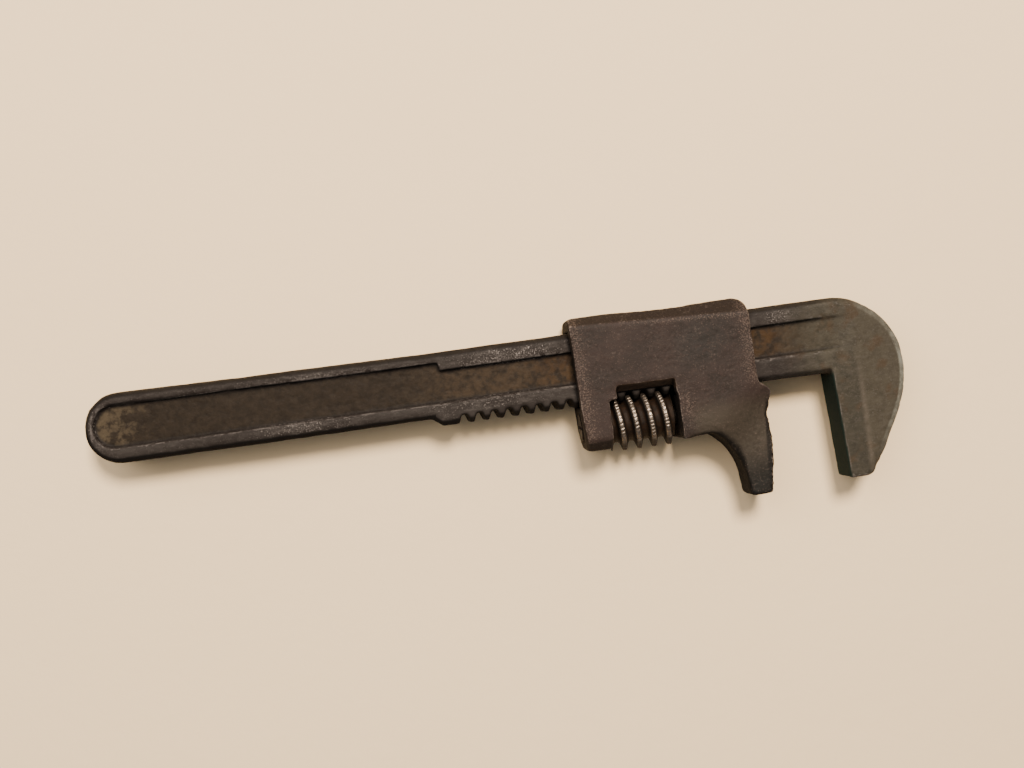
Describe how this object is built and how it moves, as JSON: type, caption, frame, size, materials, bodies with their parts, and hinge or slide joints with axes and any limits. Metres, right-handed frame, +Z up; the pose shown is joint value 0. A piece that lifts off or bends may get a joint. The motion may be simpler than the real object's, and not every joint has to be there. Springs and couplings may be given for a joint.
{
  "type": "adjustable wrench",
  "caption": "Old forged adjustable wrench: a bar with rack and fixed jaw, a sleeve with a movable jaw that slides on it, and a knurled worm that sets the opening.",
  "frame": {"origin": "bottom centre of the bounding box, with the wrench lying flat on one broad face of the sleeve", "axes": "+X along the bar from the handle towards the jaws, +Y across the bar away from the jaws' open side, +Z up through the thickness"},
  "size_m": [0.2316, 0.0562, 0.019],
  "materials": {
    "bar_steel": "drop-forged steel, dark oxide with brown rust, bright on worn edges",
    "sleeve_steel": "drop-forged steel, dark brown patina, finely pitted, bare on worn edges",
    "worm_steel": "turned steel, bright knurled crests, rusty brown valleys",
    "pin_steel": "turned steel, dark with age"
  },
  "bodies": {
    "bar": {"bar": "bar_steel"},
    "sliding_jaw": {"sliding_jaw": "sleeve_steel", "worm_pin": "pin_steel"},
    "worm": {"worm": "worm_steel"}
  },
  "joints": [
    {"name": "jaw_slide", "type": "slide", "parent": "bar", "child": "sliding_jaw", "axis": [1, 0, 0], "range_m": [-0.04, 0.018]},
    {"name": "worm_spin", "type": "hinge", "parent": "sliding_jaw", "child": "worm", "pos_m": [0.03175, -0.00287, 0.0095], "axis": [1, 0, 0], "continuous": true}
  ],
  "couplings": [
    {"joint": "worm_spin", "follows": "jaw_slide", "rad_per_m": 1484.2}
  ]
}
